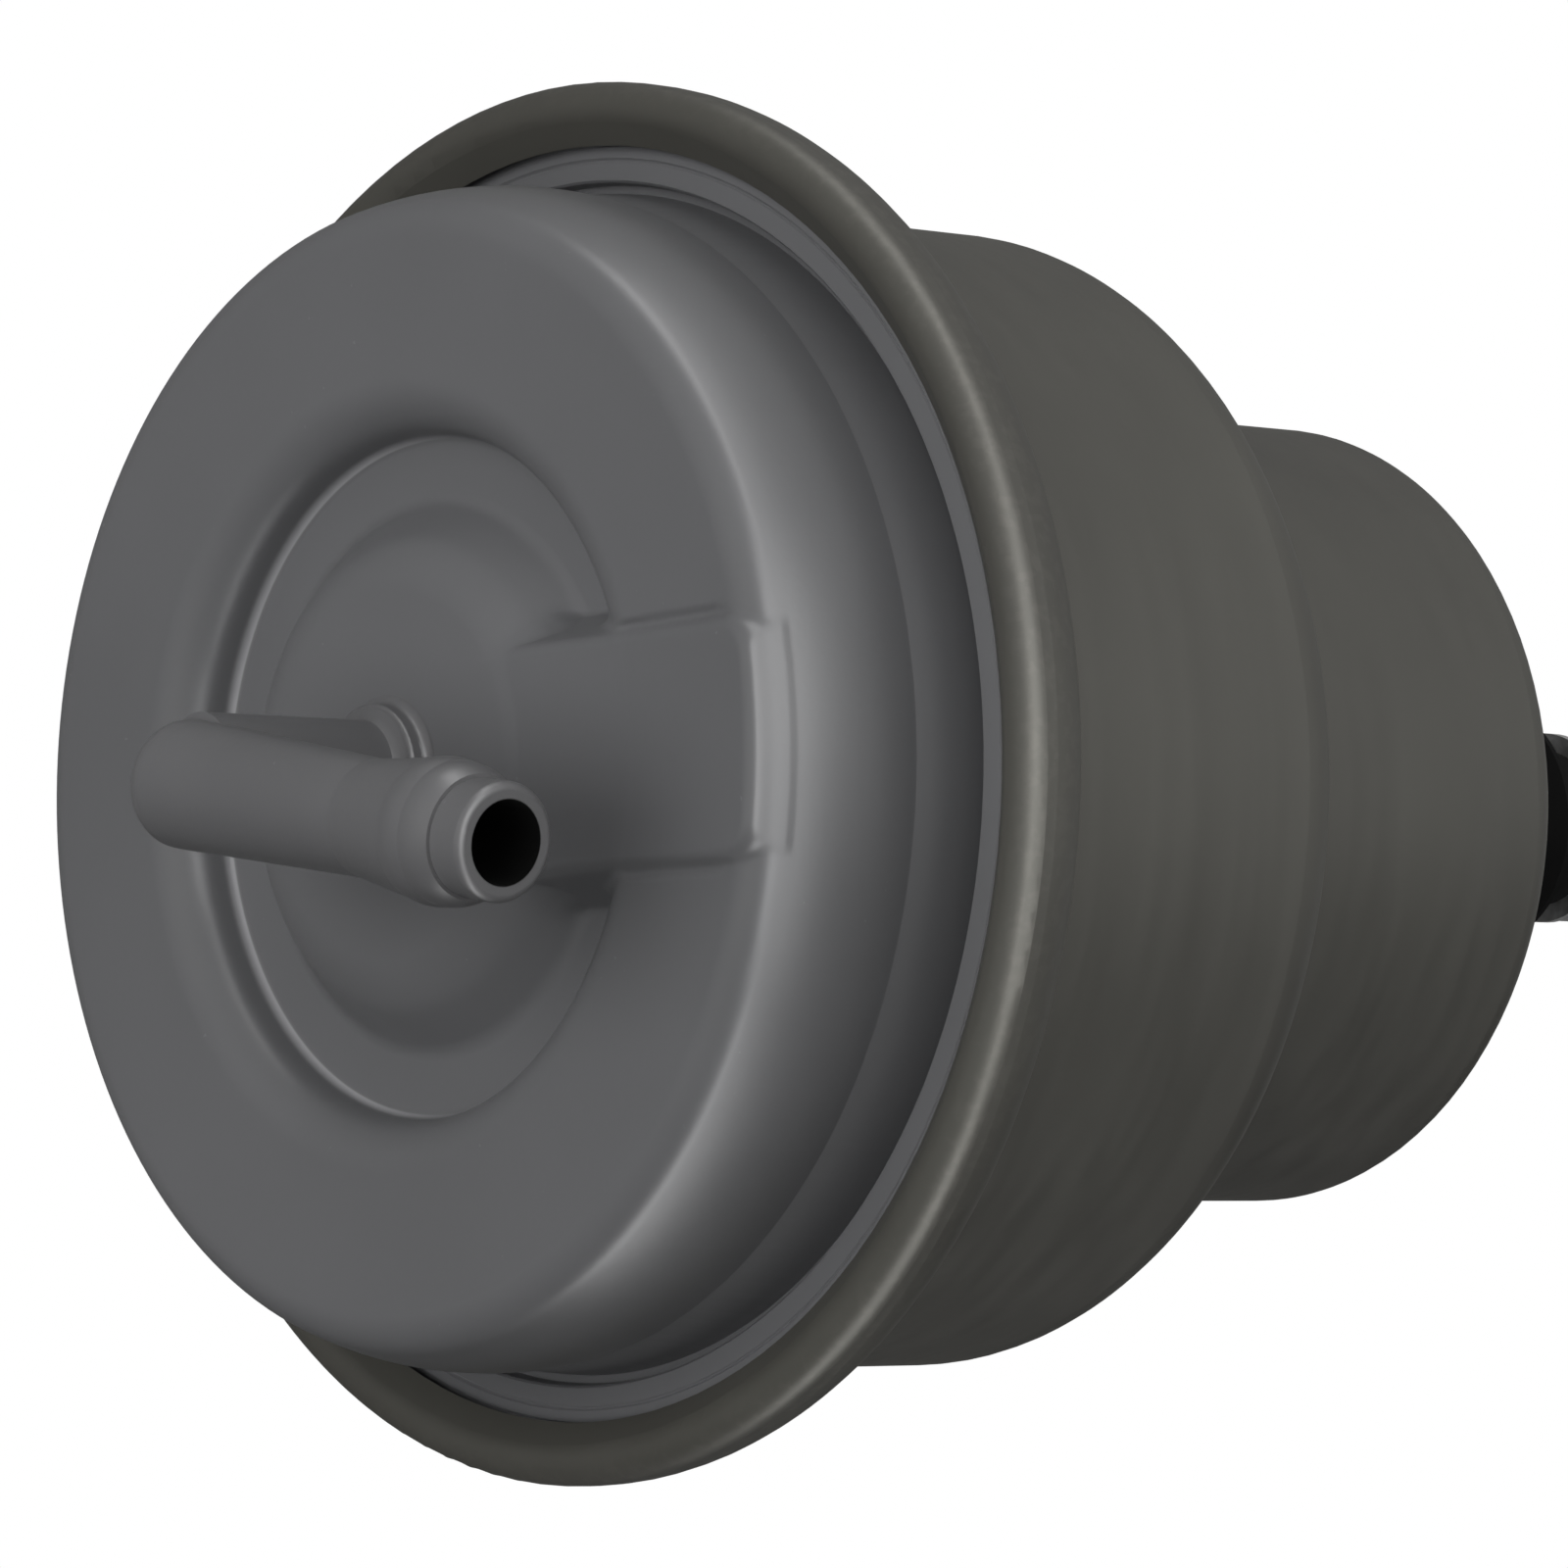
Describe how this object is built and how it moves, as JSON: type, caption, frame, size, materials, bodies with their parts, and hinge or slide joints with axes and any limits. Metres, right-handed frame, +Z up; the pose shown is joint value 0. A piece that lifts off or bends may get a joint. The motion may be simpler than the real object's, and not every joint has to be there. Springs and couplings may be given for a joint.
{
  "type": "turbo wastegate actuator capsule",
  "caption": "Pressure actuator capsule of a turbo wastegate: grey cover with bent hose nozzle, stepped steel can with rolled rim, and a sprung rod with boot and threaded eye.",
  "frame": {"origin": "centre of the stud pattern, in the can's flat mounting face", "axes": "+X along the rod away from the cover, +Z up, the hose nozzle leaves towards -Y"},
  "size_m": [0.1216, 0.062, 0.062],
  "materials": {
    "moulding": "satin",
    "nozzle": "satin",
    "coated_steel": "satin",
    "rubber": "matte",
    "zinc": "satin",
    "bare_steel": "satin",
    "insulator": "matte",
    "bronze": "satin"
  },
  "bodies": {
    "capsule": {"cover": "moulding", "hose_elbow": "nozzle", "can": "coated_steel", "spring_seat": "insulator", "stud_plate": "bare_steel", "mounting_studs": "zinc", "bush_cup": "bare_steel", "rod_bush": "bronze", "rod_wiper": "rubber", "wiper_cap": "coated_steel", "boot_clip": "bare_steel", "bump_ring": "rubber"},
    "rod_group": {"rod": "bare_steel", "head_washer": "bare_steel", "clamp_plate": "bare_steel", "diaphragm": "rubber", "piston": "bare_steel", "main_spring": "bare_steel", "rod_boot": "rubber", "stop_washer": "zinc", "jam_nut": "zinc"},
    "rod_eye": {"rod_end": "zinc", "eye_bush": "bare_steel"}
  },
  "joints": [
    {"name": "rod_slide", "type": "slide", "parent": "capsule", "child": "rod_group", "axis": [1, 0, 0], "range_m": [0, 0.01], "stiffness_N_per_m": 4000, "springref_m": -0.008, "deforming": ["main_spring", "rod_boot", "diaphragm"]},
    {"name": "rod_end_turn", "type": "hinge", "parent": "rod_group", "child": "rod_eye", "pos_m": [0.031, 0, 0], "axis": [1, 0, 0], "range_deg": [-180, 180]}
  ]
}
